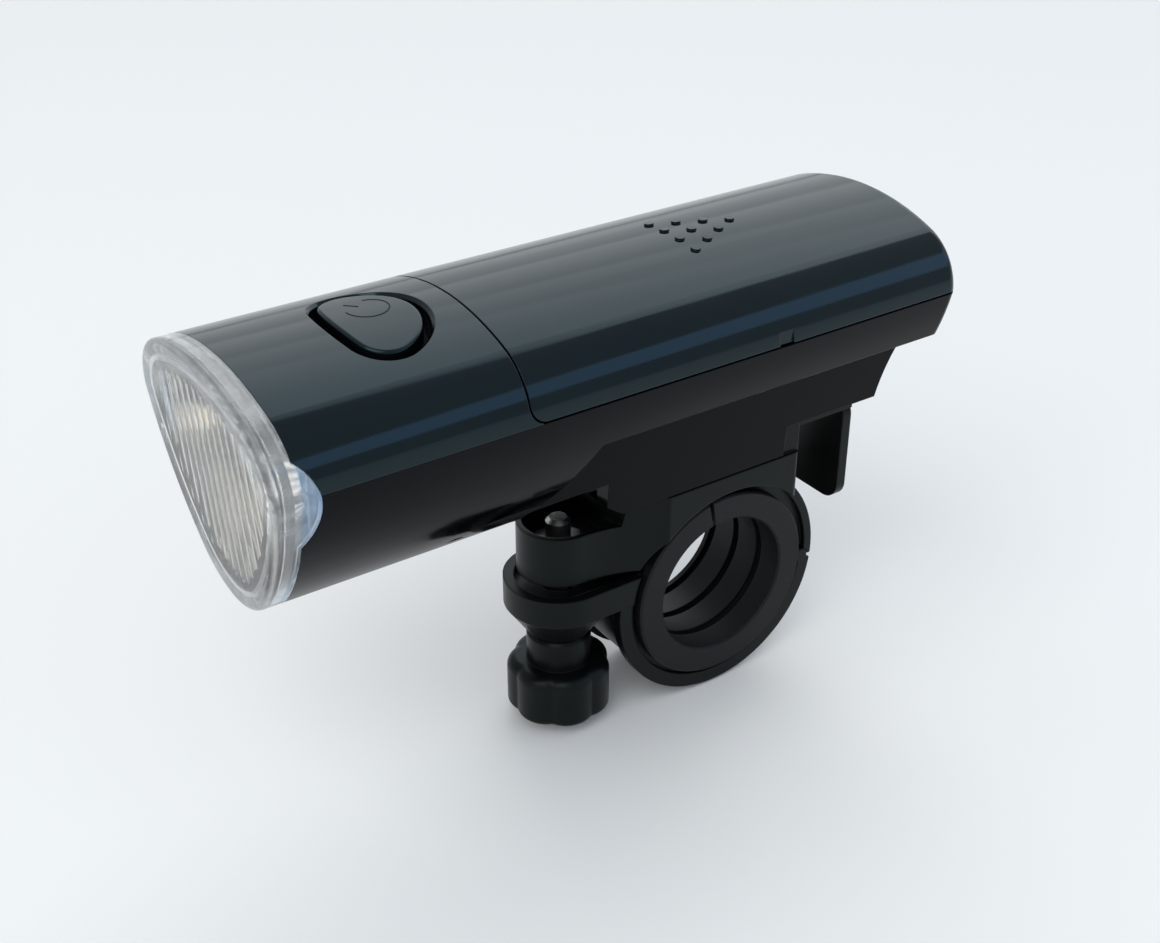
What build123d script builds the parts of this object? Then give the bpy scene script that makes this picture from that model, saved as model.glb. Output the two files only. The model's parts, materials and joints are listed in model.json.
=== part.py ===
from build123d import *
from math import cos, degrees, radians, sin
import os

os.makedirs("parts", exist_ok=True)

# Bike headlight on a two-part handlebar clamp, lengths in mm.
# Origin: centre of the clamp bore. X points along the beam, Y to the rider's left, Z up.

# Clamp ring and rubber shim
bore_radius = 11.95
shim_wall = 3.95
shim_half_width = 9.5
flange_width = 1.8
flange_height = 0.6
flange_gap = 0.1
flange_chamfer = 0.3
groove_depth = 0.9
groove_width = 1.4
groove_pitch = 5.95
groove_count = 3
groove_centre_y = -1.7
slit_width = 0.7
slit_angle = 79
clamp_fit = 0.1
ring_wall = 2.8
ring_rib_height = 1.0
ring_rib_width = 2.0
ring_half_width = 8.5
jaw_recess_gap = 0.9
bracket_recess_gap = 1.8

# Bracket
bracket_half_width = 11.0
bracket_top_z = 21.3
bracket_rear_x = -13.4
bracket_flare_x = 12.5
bracket_edge_round = 1.0
upper_ear_radius = 6.6
upper_ear_bottom_z = 8.3
upper_ear_top_z = 16.8
ear_ramp_high_x = 18.1
ear_ramp_low_x = 19.1
ear_wall = 0.9
ear_floor = 5.0
nut_recess = 2.4

# Clamp jaw
jaw_clearance = 0.4
screw_x = 25.8
lower_ear_radius = 8.75
lower_ear_top_z = 6.8
lower_ear_bottom_z = 2.1
ear_rim = 1.7
dish_depth = 1.6
dish_rear_x = 17.4
skirt_bottom_z = -3.1
skirt_radius = 5.2
skirt_hole_clearance = 1.0
hinge_z = -1.5
barrel_radius = 1.2
barrel_fit = 0.08
hinge_opening = 0.9

# Clamp screw, nut, washer and knob
screw_radius = 2.0
screw_fit = 0.25
screw_top_z = 17.1
screw_bottom_z = -15.5
screw_chamfer = 0.6
nut_flats = 7.0
nut_height = 2.4
nut_fit = 0.1
washer_radius = 3.8
washer_thickness = 0.8
washer_fit = 0.1
knob_gap = 0.5
neck_radius = 5.2
neck_chamfer = 0.5
head_top_z = -9.0
head_bottom_z = -17.9
head_lobe_offset = 3.7
head_lobe_radius = 4.7
head_notch_round = 0.8
head_round = 1.7
head_bottom_round = 1.0
lobe_count = 7
first_lobe_angle = 22.3

# Rail on the bracket
rail_front_x = 18.0
stop_front_x = -10.3
stop_top_z = 26.3
stop_half_width = 10.4
rail_neck_half_width = 5.8
rail_head_half_width = 8.2
rail_step_z = 24.1
rail_top_z = 26.6
rail_chamfer = 1.2
slide_fit = 0.3

# Release tab
tongue_top_z = 26.1
tongue_thickness = 1.7
tongue_half_width = 8.7
tab_root_fit = 0.08
tab_side_gap = 0.4
catch_x = -20.5
catch_radius = 1.0
catch_height = 0.5
plate_rear_x = -26.2
plate_thickness = 1.8
plate_bottom_z = 6.9
plate_round = 3.2
grip_count = 4
grip_radius = 0.5
grip_pitch = 2.6

# Outline of the lamp body, seen along the beam
crown_z = 58.7
shoulder_y = 14.5
shoulder_z = 56.1
widest_y = 20.8
parting_z = 47.3
flank_bulge = 1.8
belly_y = 9.0
belly_z = 25.6
keel_z = 22.2
wall = 2.0

# Lengths of the lamp body
rear_x = -34.3
seam_x = 43.6
lens_rear_x = 76.35
lens_depth = 3.7
lens_tilt = 3.3
rear_round = 1.8
bay_bottom_z = 39.5
bay_floor = 1.6
step_top_x = 30.4
step_low_x = 39.9

# Keel with the rail channel
keel_top_half_width = 12.6
keel_low_half_width = 11.0
keel_nose_x = 57.0
keel_nose_z = 31.0
keel_front_x = 44.0
keel_front_z = 28.0
shoe_front_x = 24.5
shoe_slant_x = 3.0
shoe_slant_z = 2.2
shoe_bottom_z = 21.6
shoe_rear_x = -9.8
channel_depth_gap = 0.4
keel_rear_top_x = -33.9
keel_rear_mid_x = -29.8
keel_rear_mid_z = 32.5
keel_rear_low_x = -28.2

# Cells and contacts
cell_radius = 7.15
cell_length = 49.2
nub_radius = 2.75
nub_length = 1.3
cell_rear_x = -23.0
upper_cell_y = 7.6
upper_cell_z = 48.4
cell_gap = 0.15
trench_fit = 0.35
contact_thickness = 0.4
contact_width = 6.0
contact_gap = 0.05
carrier_thickness = 1.2
carrier_half_width = 15.2
carrier_top_z = 55.0
carrier_gap = 0.1
spring_depth = 2.0
bulkhead = 1.8
deck_thickness = 1.6
deck_length = 14.6

# Ribs of the lower housing and beads of the battery cover
rib_half_width = 17.6
rib_thickness = 2.0
rib_top_z = 50.6
rib_rear_x = -31.6
slide_groove_depth = 0.8
slide_groove_low_z = 48.6
slide_groove_high_z = 49.8
bead_gap = 0.25
seam_gap = 0.3
cover_corner_round = 2.5
toe_length = 1.9
latch_front_x = 1.4
latch_rear_x = -1.2
latch_top_z = 49.8
latch_depth = 0.35
dot_radius = 0.75
dot_height = 0.3
dot_pitch_x = 3.6
dot_pitch_y = 3.8
dots_front_x = 5.4
dot_rows = 4
seal_front_x = 43.3
seal_length = 1.8
seal_thickness = 0.8
seal_gap = 0.25
lip_length = 3.0
lip_thickness = 1.2

# Front housing, button well and button
partition = 1.6
button_rear_x = 49.15
button_front_x = 60.95
button_centre_y = 0.7
button_arc_radius = 9.6
button_front_radius = 30.0
button_corner_round = 4.0
button_proud = 0.15
button_bottom_z = 55.7
button_edge_round = 0.5
well_gap = 1.1
well_wall = 1.2
well_floor_z = 54.4
well_floor = 1.1
well_chamfer = 0.5
button_travel = 0.8
stem_radius = 1.7
stem_fit = 0.3

# Circuit board and switch
board_top_z = 50.2
board_thickness = 1.2
board_front_x = 58.4
board_rear_x = 46.0
board_half_width = 6.0
board_screw_inset = 2.4
board_boss_radius = 1.9
small_screw_radius = 0.85
small_screw_length = 4.0
small_screw_fit = 0.05
small_head_radius = 1.6
small_head_height = 1.0
switch_side = 4.6
switch_height = 1.6
plunger_radius = 1.1
plunger_fit = 0.1
plunger_rise = 1.0
plunger_seat = 0.4
stem_gap = 0.05
seal_ring_radius = 3.8
seal_ring_height = 0.5
chip_length = 3.0
chip_width = 2.2
chip_height = 0.9
chip_x = 49.2

# Optics
optic_z = 41.0
sink_rear_x = 53.2
sink_thickness = 2.6
sink_top_z = 47.8
sink_fit = 0.25
led_board_radius = 7.0
led_board_thickness = 1.6
led_base_side = 3.0
led_base_height = 0.8
led_dome_radius = 1.3
focal_length = 3.2
mirror_wall = 1.0
mirror_hole_radius = 2.6
mirror_floor_gap = 0.2
mirror_inset = 2.3
mirror_rim_radius = 15.6
mirror_rim_thickness = 1.2
mirror_lens_gap = 0.3
gasket_width = 1.2
gasket_thickness = 0.8

# Lens
lens_wall = 2.1
lens_plate = 1.9
lens_edge_round = 0.9
window_inset = 3.4
flute_pitch = 2.25
flute_depth = 0.5
flute_count = 15
lobe_radius = 8.95
lobe_reach = 2.85
lobe_z = 45.3
lobe_gap = 0.1

# Housing screws
housing_screw_x = 49.6
housing_screw_y = 8.35
housing_screw_radius = 1.25
housing_screw_length = 20.0
housing_screw_fit = 0.05
housing_head_radius = 2.0
housing_head_height = 1.6
housing_head_gap = 0.15
housing_head_z = 31.6
housing_boss_radius = 2.2
housing_tube_radius = 3.4

# One length carries every cut past the faces that it opens
overrun = 5.0

# Sizes worked out from the ones above
shim_outer = bore_radius + shim_wall
flange_radius = shim_outer + flange_height
recess_floor_y = shim_half_width - flange_width - flange_gap
bracket_bore = shim_outer + clamp_fit
jaw_bore = shim_outer + jaw_clearance
ring_outer = bracket_bore + ring_wall
rib_outer = ring_outer + ring_rib_height
hinge_radius = bracket_bore + (ring_wall + ring_rib_height) / 2
hinge_x = -((hinge_radius**2 - hinge_z**2) ** 0.5)
neck_top_z = skirt_bottom_z - knob_gap
nut_z = upper_ear_bottom_z + ear_floor - nut_recess
tongue_z = tongue_top_z - tongue_thickness / 2
lens_front_x = lens_rear_x + lens_depth
lobe_rear_x = lens_rear_x - lobe_reach
body_length = lens_front_x - rear_x
tilt = radians(lens_tilt)
channel_top_z = rail_top_z + channel_depth_gap
channel_step_z = rail_step_z - slide_fit
bay_floor_z = bay_bottom_z + bay_floor
lower_cell_z = upper_cell_z - ((2 * cell_radius + cell_gap) ** 2 - upper_cell_y**2) ** 0.5
cell_places = [(-upper_cell_y, upper_cell_z), (upper_cell_y, upper_cell_z), (0, lower_cell_z)]
cell_front_x = cell_rear_x + cell_length + nub_length
front_contact_x = cell_front_x + contact_gap
front_carrier_x = front_contact_x + contact_thickness
bay_front_x = front_carrier_x + carrier_thickness + contact_gap
spring_x = cell_rear_x - contact_gap - spring_depth
rear_carrier_x = spring_x - carrier_thickness
trench_rear_x = rear_carrier_x - contact_gap
trench_radius = cell_radius + trench_fit
lip_inset = wall + seal_gap + seal_thickness
button_x = (button_rear_x + button_front_x) / 2
board_x = (board_rear_x + board_front_x) / 2
board_bottom_z = board_top_z - board_thickness
switch_top_z = board_top_z + switch_height
plunger_top_z = switch_top_z + plunger_rise
led_board_x = sink_rear_x + sink_thickness
led_base_x = led_board_x + led_board_thickness
led_dome_x = led_base_x + led_base_height
mirror_floor_x = led_base_x + mirror_floor_gap + mirror_wall
mirror_vertex_x = led_dome_x - focal_length
lens_inner_x = lens_front_x - lens_plate


def tilted(x):
    """Plane across the beam that leans forward at the top."""
    return Plane(origin=(x, 0, parting_z), x_dir=(0, 1, 0), z_dir=(cos(tilt), 0, -sin(tilt)))


def box_between(x, y, z, mode=Mode.ADD):
    """Box from the low to the high value of each pair."""
    with Locations((sum(x) / 2, sum(y) / 2, sum(z) / 2)):
        Box(x[1] - x[0], y[1] - y[0], z[1] - z[0], mode=mode)


def finish(piece, label):
    """Name a piece and write its file."""
    piece.part.label = label
    export_step(piece.part, "parts/" + label + ".step")


def section(x, inset=0.0):
    """Outline of the lamp body in the plane at x, moved inwards by inset."""
    with BuildSketch(Plane.YZ.offset(x)) as outline:
        with BuildLine():
            crown = TangentArc((0, crown_z), (shoulder_y, shoulder_z), tangent=(1, 0))
            TangentArc(crown @ 1, (widest_y, parting_z), tangent=crown % 1)
            SagittaArc((widest_y, parting_z), (belly_y, belly_z), flank_bulge)
            TangentArc((0, keel_z), (belly_y, belly_z), tangent=(1, 0))
            mirror(about=Plane.YZ)
        make_face()
        if inset:
            offset(amount=-inset, kind=Kind.INTERSECTION)
    return outline.sketch


def lamp_shape(inset=0.0):
    """Solid of the whole lamp body, rounded at its rear edge, or its hollow at an inset."""
    with BuildPart() as shape:
        extrude(section(rear_x + inset, inset), amount=body_length + overrun)
        if not inset:
            fillet(shape.faces().sort_by(Axis.X)[0].edges(), rear_round)
    return shape.part


def band(x, outer_inset, inner_inset, length):
    """Ring between two insets of the body outline, from x forwards."""
    with BuildPart() as ring:
        extrude(section(x, outer_inset), amount=length)
        extrude(section(x, inner_inset), amount=length, mode=Mode.SUBTRACT)
    return ring.part


def button_outline(z, grow=0.0):
    """Outline of the button in the plane at z: a round arc behind, a flatter one in front."""
    with BuildSketch(Plane.XY.offset(z)) as outline:
        with Locations((button_rear_x + button_arc_radius, button_centre_y)):
            Circle(button_arc_radius + grow)
        with Locations((button_front_x - button_front_radius, button_centre_y)):
            Circle(button_front_radius + grow, mode=Mode.INTERSECT)
        fillet(outline.vertices(), button_corner_round + grow)
    return outline.sketch


def lobe_disc():
    """Disc across the lamp body at the side windows of the lens."""
    with BuildSketch(Plane.XZ) as disc:
        with Locations((lobe_rear_x + lobe_radius, lobe_z)):
            Circle(lobe_radius)
    return disc.sketch


def lobe_notch():
    """Disc that leaves room for the side windows."""
    with BuildSketch(Plane.XZ) as disc:
        with Locations((lobe_rear_x + lobe_radius, lobe_z)):
            Circle(lobe_radius + lobe_gap)
    return disc.sketch


def clamp_ring():
    """Full clamp ring with a rib along each face."""
    with BuildPart() as ring:
        with BuildSketch(Plane.XZ):
            Circle(ring_outer)
        extrude(amount=ring_half_width, both=True)
        for side_y in (-1, 1):
            with BuildSketch(Plane.XZ.offset(side_y * ring_half_width)):
                Circle(rib_outer)
            extrude(amount=-side_y * ring_rib_width)
    return ring.part


def bracket_plan(z, inset=0.0):
    """Plan view of the bracket in the plane at z, with the flare to its upper ear."""
    with BuildSketch(Plane.XY.offset(z)) as plan:
        with BuildLine():
            side = Line((bracket_rear_x, bracket_half_width), (bracket_flare_x, bracket_half_width))
            TangentArc((screw_x, upper_ear_radius), side @ 1, tangent=(-1, 0))
            mirror(about=Plane.XZ)
            Line(side @ 0, (bracket_rear_x, -bracket_half_width))
            CenterArc((screw_x, 0), upper_ear_radius, -90, 180)
        make_face()
        if inset:
            offset(amount=-inset)
    return plan.sketch


# Upper rear quarter of the clamp ring, which belongs to the bracket
with BuildPart() as upper_ring:
    add(clamp_ring())
    split(bisect_by=Plane.XY.offset(hinge_z), keep=Keep.TOP)
    split(bisect_by=Plane.YZ, keep=Keep.BOTTOM)

# Pocket in the upper ear, open at the top
with BuildPart() as ear_pocket:
    extrude(bracket_plan(upper_ear_bottom_z + ear_floor, ear_wall), amount=bracket_top_z)
    split(bisect_by=Plane.YZ.offset(ear_ramp_low_x), keep=Keep.TOP)

# Bracket: base with the upper ear, upper half of the ring, rail and stop block
with BuildPart() as bracket:
    ear_nose_x = screw_x + upper_ear_radius
    with BuildSketch(Plane.XZ):
        with BuildLine():
            Polyline(
                (bracket_rear_x, upper_ear_bottom_z),
                (bracket_rear_x, bracket_top_z),
                (ear_ramp_high_x, bracket_top_z),
                (ear_ramp_low_x, upper_ear_top_z),
                (ear_nose_x, upper_ear_top_z),
                (ear_nose_x, upper_ear_bottom_z),
                close=True,
            )
        make_face()
    extrude(amount=bracket_half_width, both=True)
    extrude(bracket_plan(upper_ear_bottom_z), amount=bracket_top_z, mode=Mode.INTERSECT)
    fillet(bracket.edges().filter_by(Axis.Z).group_by(Axis.X)[0], bracket_edge_round)
    add(upper_ring.part)
    with BuildSketch(Plane.XZ):
        Circle(bracket_bore)
    extrude(amount=bracket_half_width, both=True, mode=Mode.SUBTRACT)
    for side_y in (-1, 1):
        with BuildSketch(Plane.XZ.offset(-side_y * recess_floor_y)):
            Circle(flange_radius + bracket_recess_gap)
        extrude(amount=-side_y * overrun, mode=Mode.SUBTRACT)
    with Locations(Location((hinge_x, 0, hinge_z), (90, 0, 0))):
        Cylinder(barrel_radius + barrel_fit, 2 * bracket_half_width, mode=Mode.SUBTRACT)
    add(ear_pocket.part, mode=Mode.SUBTRACT)
    with BuildSketch(Plane.XY.offset(nut_z)):
        with Locations((screw_x, 0)):
            RegularPolygon(nut_flats / 2 + nut_fit, 6, major_radius=False)
    extrude(amount=nut_height, mode=Mode.SUBTRACT)
    with Locations((screw_x, 0, upper_ear_bottom_z)):
        Cylinder(screw_radius + screw_fit, 2 * ear_floor, mode=Mode.SUBTRACT)
    rail_length = rail_front_x - bracket_rear_x
    rail_x = (rail_front_x + bracket_rear_x) / 2
    with BuildSketch(Plane.XY.offset(bracket_top_z)):
        with Locations((rail_x, 0)):
            Rectangle(rail_length, 2 * rail_neck_half_width)
    extrude(amount=rail_top_z - bracket_top_z)
    with BuildSketch(Plane.XY.offset(rail_step_z)) as rail_plan:
        with Locations((rail_x, 0)):
            Rectangle(rail_length, 2 * rail_head_half_width)
        chamfer(rail_plan.vertices().group_by(Axis.X)[-1], rail_chamfer)
    extrude(amount=rail_top_z - rail_step_z)
    box_between(
        (bracket_rear_x, stop_front_x),
        (-stop_half_width, stop_half_width),
        (bracket_top_z, stop_top_z),
    )
    with Locations(Location((bracket_rear_x, 0, tongue_z), (90, 0, 0))):
        Cylinder(tongue_thickness / 2 + tab_root_fit, 2 * (tongue_half_width + tab_side_gap), mode=Mode.SUBTRACT)
finish(bracket, "bracket")

# Lower half of the clamp ring, which belongs to the jaw and is higher in front
jaw_end_z = hinge_z - hinge_opening
with BuildPart() as lower_ring:
    add(clamp_ring())
    jaw_side = (-bracket_half_width, bracket_half_width)
    box_between((-rib_outer, 0), jaw_side, (jaw_end_z, rib_outer), mode=Mode.SUBTRACT)
    split(bisect_by=Plane.XY.offset(lower_ear_top_z), keep=Keep.BOTTOM)

# Clamp jaw: lower half of the ring, lower ear with its dish, skirt and hinge barrel
with BuildPart() as clamp_jaw:
    add(lower_ring.part)
    with BuildSketch(Plane.XY.offset(lower_ear_bottom_z)):
        with Locations(((screw_x + bore_radius) / 2, 0)):
            Rectangle(screw_x - bore_radius, 2 * lower_ear_radius)
        with Locations((screw_x, 0)):
            Circle(lower_ear_radius)
    extrude(amount=lower_ear_top_z - lower_ear_bottom_z)
    with BuildSketch(Plane.XY.offset(skirt_bottom_z)):
        with Locations((screw_x, 0)):
            Circle(skirt_radius)
    with BuildSketch(Plane.XY.offset(lower_ear_bottom_z)):
        with Locations((screw_x, 0)):
            Circle(lower_ear_radius)
    loft(ruled=True)
    with BuildSketch(Plane.XZ):
        Circle(jaw_bore)
    extrude(amount=bracket_half_width, both=True, mode=Mode.SUBTRACT)
    for side_y in (-1, 1):
        with BuildSketch(Plane.XZ.offset(-side_y * recess_floor_y)):
            Circle(flange_radius + jaw_recess_gap)
        extrude(amount=-side_y * overrun, mode=Mode.SUBTRACT)
    with BuildSketch(Plane.XY.offset(lower_ear_top_z - dish_depth)):
        dish_radius = lower_ear_radius - ear_rim
        with Locations(((screw_x + dish_rear_x) / 2, 0)):
            Rectangle(screw_x - dish_rear_x, 2 * dish_radius)
        with Locations((screw_x, 0)):
            Circle(dish_radius)
    extrude(amount=dish_depth, mode=Mode.SUBTRACT)
    with Locations((screw_x, 0, 0)):
        Cylinder(screw_radius + skirt_hole_clearance, 2 * lower_ear_radius, mode=Mode.SUBTRACT)
    with Locations(Location((hinge_x, 0, hinge_z), (90, 0, 0))):
        Cylinder(barrel_radius, 2 * ring_half_width)
finish(clamp_jaw, "clamp_jaw")

# Rubber shim: grooved split ring with a flange on each side
with BuildPart() as rubber_shim:
    slit_arc = degrees(slit_width / shim_outer)
    slit_edge = radians(slit_angle - slit_arc / 2)
    slit_plane = Plane(
        origin=(0, 0, 0),
        x_dir=(cos(slit_edge), 0, sin(slit_edge)),
        z_dir=(-sin(slit_edge), 0, cos(slit_edge)),
    )
    flange_y = shim_half_width - flange_width / 2
    flange_x = (bore_radius + flange_radius) / 2
    with BuildSketch(slit_plane) as shim_cut:
        with Locations((bore_radius + shim_wall / 2, 0)):
            Rectangle(shim_wall, 2 * shim_half_width)
        with Locations((flange_x, -flange_y), (flange_x, flange_y)):
            Rectangle(flange_radius - bore_radius, flange_width)
        rows = shim_cut.vertices().group_by(Axis.Y)
        chamfer(rows[0] + rows[-1], flange_chamfer)
        with Locations((bore_radius + groove_depth / 2, groove_centre_y)):
            with GridLocations(groove_pitch, groove_pitch, 1, groove_count):
                Rectangle(groove_depth, groove_width, mode=Mode.SUBTRACT)
    revolve(axis=Axis.Y, revolution_arc=360 - slit_arc)
finish(rubber_shim, "rubber_shim")

# Clamp nut in the pocket of the upper ear
with BuildPart() as clamp_nut:
    with BuildSketch(Plane.XY.offset(nut_z)):
        with Locations((screw_x, 0)):
            RegularPolygon(nut_flats / 2, 6, major_radius=False)
            Circle(screw_radius + nut_fit, mode=Mode.SUBTRACT)
    extrude(amount=nut_height)
finish(clamp_nut, "clamp_nut")

# Clamp screw: stud that is moulded into the knob
with BuildPart() as clamp_screw:
    with BuildSketch(Plane.XY.offset(screw_bottom_z)):
        with Locations((screw_x, 0)):
            Circle(screw_radius)
    extrude(amount=screw_top_z - screw_bottom_z)
    chamfer(clamp_screw.edges().group_by(Axis.Z)[-1], screw_chamfer)
finish(clamp_screw, "clamp_screw")

# Thrust washer on top of the knob
with BuildPart() as thrust_washer:
    with BuildSketch(Plane.XY.offset(neck_top_z)):
        with Locations((screw_x, 0)):
            Circle(washer_radius)
            Circle(screw_radius + washer_fit, mode=Mode.SUBTRACT)
    extrude(amount=-washer_thickness)
finish(thrust_washer, "thrust_washer")

# Clamp knob with a long neck and a lobed head
with BuildPart() as clamp_knob:
    with BuildSketch(Plane.XY.offset(head_bottom_z)) as head:
        with Locations((screw_x, 0)):
            with PolarLocations(head_lobe_offset, lobe_count, start_angle=first_lobe_angle):
                Circle(head_lobe_radius)
        fillet(head.vertices(), head_notch_round)
    extrude(amount=head_top_z - head_bottom_z)
    fillet(clamp_knob.faces().sort_by(Axis.Z)[-1].edges(), head_round)
    fillet(clamp_knob.faces().sort_by(Axis.Z)[0].edges(), head_bottom_round)
    with BuildSketch(Plane.XY.offset(head_top_z)):
        with Locations((screw_x, 0)):
            Circle(neck_radius)
    extrude(amount=neck_top_z - head_top_z)
    chamfer(clamp_knob.edges().group_by(Axis.Z)[-1], neck_chamfer)
    with BuildSketch(Plane.XY.offset(neck_top_z)):
        with Locations((screw_x, 0)):
            Circle(washer_radius + washer_fit)
    extrude(amount=-washer_thickness, mode=Mode.SUBTRACT)
    with BuildSketch(Plane.XY.offset(screw_bottom_z)):
        with Locations((screw_x, 0)):
            Circle(screw_radius)
    extrude(amount=neck_top_z - screw_bottom_z, mode=Mode.SUBTRACT)
finish(clamp_knob, "clamp_knob")

# Release tab: tongue behind the rail with a catch ridge and a finger plate
with BuildPart() as release_tab:
    box_between(
        (plate_rear_x, bracket_rear_x),
        (-tongue_half_width, tongue_half_width),
        (tongue_top_z - tongue_thickness, tongue_top_z),
    )
    plate_height = tongue_top_z - plate_bottom_z
    with BuildSketch(Plane.YZ.offset(plate_rear_x)) as plate_face:
        with Locations((0, tongue_top_z - plate_height / 2)):
            Rectangle(2 * tongue_half_width, plate_height)
        fillet(plate_face.vertices().group_by(Axis.Z)[0], plate_round)
    extrude(amount=plate_thickness)
    with Locations(Location((bracket_rear_x, 0, tongue_z), (90, 0, 0))):
        Cylinder(tongue_thickness / 2, 2 * tongue_half_width)
    with Locations(Location((catch_x, 0, tongue_top_z + catch_height - catch_radius), (90, 0, 0))):
        Cylinder(catch_radius, 2 * rail_neck_half_width)
    for grip in range(grip_count):
        grip_z = plate_bottom_z + plate_round + grip * grip_pitch
        with Locations(Location((plate_rear_x, 0, grip_z), (90, 0, 0))):
            Cylinder(grip_radius, 2 * (tongue_half_width - plate_round))
finish(release_tab, "release_tab")

# Shapes that the pieces of the lamp share
lamp_body = lamp_shape()
lamp_inside = lamp_shape(wall)

# Keel below the battery bay, with the channel that slides over the rail
with BuildPart() as keel:
    with BuildSketch(Plane.XZ):
        with BuildLine():
            rear_arc = ThreePointArc(
                (keel_rear_top_x, bay_bottom_z),
                (keel_rear_mid_x, keel_rear_mid_z),
                (keel_rear_low_x, channel_top_z),
            )
            Polyline(
                rear_arc @ 1,
                (shoe_rear_x, channel_top_z),
                (shoe_rear_x, shoe_bottom_z),
                (shoe_front_x - shoe_slant_x, shoe_bottom_z),
                (shoe_front_x, shoe_bottom_z + shoe_slant_z),
                (shoe_front_x, keel_front_z),
                (keel_front_x, keel_front_z),
                (keel_nose_x, keel_nose_z),
                (keel_nose_x, bay_bottom_z),
                rear_arc @ 0,
            )
        make_face()
    extrude(amount=keel_top_half_width, both=True)
    with BuildSketch(Plane.YZ.offset(rear_x)):
        with BuildLine():
            Polyline(
                (keel_low_half_width, shoe_bottom_z),
                (keel_top_half_width, bay_bottom_z),
                (-keel_top_half_width, bay_bottom_z),
                (-keel_low_half_width, shoe_bottom_z),
                close=True,
            )
        make_face()
    extrude(amount=body_length, mode=Mode.INTERSECT)
    neck_slot = rail_neck_half_width + slide_fit
    head_slot = rail_head_half_width + slide_fit
    channel_x = (shoe_rear_x - overrun, shoe_front_x)
    box_between(channel_x, (-neck_slot, neck_slot), (shoe_bottom_z, channel_top_z), mode=Mode.SUBTRACT)
    box_between(channel_x, (-head_slot, head_slot), (channel_step_z, channel_top_z), mode=Mode.SUBTRACT)

# Space for the cells in the lower housing and in the keel
with BuildPart() as battery_bay:
    add(lamp_inside)
    box_between(
        (rear_x, bay_front_x),
        (-widest_y, widest_y),
        (bay_floor_z, crown_z),
        mode=Mode.INTERSECT,
    )
    with BuildSketch(Plane.YZ.offset(trench_rear_x)):
        with Locations((0, lower_cell_z)):
            Circle(trench_radius)
        with Locations((0, lower_cell_z + trench_radius)):
            Rectangle(2 * trench_radius, 2 * trench_radius)
    extrude(amount=bay_front_x - trench_rear_x)

# Space for the optics, in front of the battery bay
front_bay_x = bay_front_x + bulkhead
with BuildPart() as optic_space:
    add(lamp_inside)
    with BuildSketch(Plane.XZ):
        with BuildLine():
            Polyline(
                (front_bay_x, parting_z - deck_thickness),
                (front_bay_x + deck_length, parting_z - deck_thickness),
                (front_bay_x + deck_length, crown_z),
                (lens_front_x + overrun, crown_z),
                (lens_front_x + overrun, keel_z),
                (step_low_x + wall, keel_z),
                (step_top_x + wall, bay_bottom_z),
                (front_bay_x, bay_floor_z),
                close=True,
            )
        make_face()
    extrude(amount=widest_y, both=True, mode=Mode.INTERSECT)

# Tubes for the housing screws
with BuildPart() as screw_tubes:
    for side_y in (-housing_screw_y, housing_screw_y):
        with BuildSketch(Plane.XY.offset(keel_z)):
            with Locations((housing_screw_x, side_y)):
                Circle(housing_tube_radius)
        extrude(amount=housing_head_z + wall - keel_z)
        with BuildSketch(Plane.XY.offset(keel_z)):
            with Locations((housing_screw_x, side_y)):
                Circle(housing_boss_radius)
        extrude(amount=parting_z - keel_z)
    add(lamp_body, mode=Mode.INTERSECT)

# Lower housing: belly, keel, battery bay and the ribs that guide the cover
with BuildPart() as lower_housing:
    add(lamp_body)
    split(bisect_by=tilted(lens_rear_x), keep=Keep.BOTTOM)
    split(bisect_by=Plane.XY.offset(parting_z), keep=Keep.BOTTOM)
    with BuildSketch(Plane.XZ):
        with BuildLine():
            Polyline(
                (rear_x - overrun, bay_bottom_z),
                (step_top_x, bay_bottom_z),
                (step_low_x, keel_z),
                (step_low_x, keel_z - overrun),
                (rear_x - overrun, keel_z - overrun),
                close=True,
            )
        make_face()
    extrude(amount=widest_y + overrun, both=True, mode=Mode.SUBTRACT)
    add(keel.part)
    add(optic_space.part, mode=Mode.SUBTRACT)
    add(battery_bay.part, mode=Mode.SUBTRACT)
    for side_y in (-1, 1):
        rib_side = sorted([side_y * (rib_half_width - rib_thickness), side_y * rib_half_width])
        box_between((rib_rear_x, bay_front_x), rib_side, (bay_bottom_z + bay_floor / 2, rib_top_z))
        groove_floor = side_y * (rib_half_width - slide_groove_depth)
        groove_side = sorted([groove_floor, side_y * rib_half_width])
        box_between(
            (rib_rear_x, bay_front_x),
            groove_side,
            (slide_groove_low_z, slide_groove_high_z),
            mode=Mode.SUBTRACT,
        )
    add(screw_tubes.part)
    for side_y in (-housing_screw_y, housing_screw_y):
        with BuildSketch(Plane.XY.offset(housing_head_z)):
            with Locations((housing_screw_x, side_y)):
                Circle(housing_head_radius + housing_head_gap)
        extrude(amount=-overrun, mode=Mode.SUBTRACT)
        with BuildSketch(Plane.XY.offset(housing_head_z)):
            with Locations((housing_screw_x, side_y)):
                Circle(housing_screw_radius + housing_screw_fit)
        extrude(amount=parting_z - housing_head_z, mode=Mode.SUBTRACT)
    extrude(lobe_notch(), amount=widest_y + overrun, both=True, mode=Mode.SUBTRACT)
finish(lower_housing, "lower_housing")

# Lip of the front housing that reaches under the battery cover
with BuildPart() as cover_lip:
    add(band(seam_x - lip_length, lip_inset, lip_inset + lip_thickness, lip_length + partition))
    split(bisect_by=Plane.XY.offset(parting_z), keep=Keep.TOP)

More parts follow.
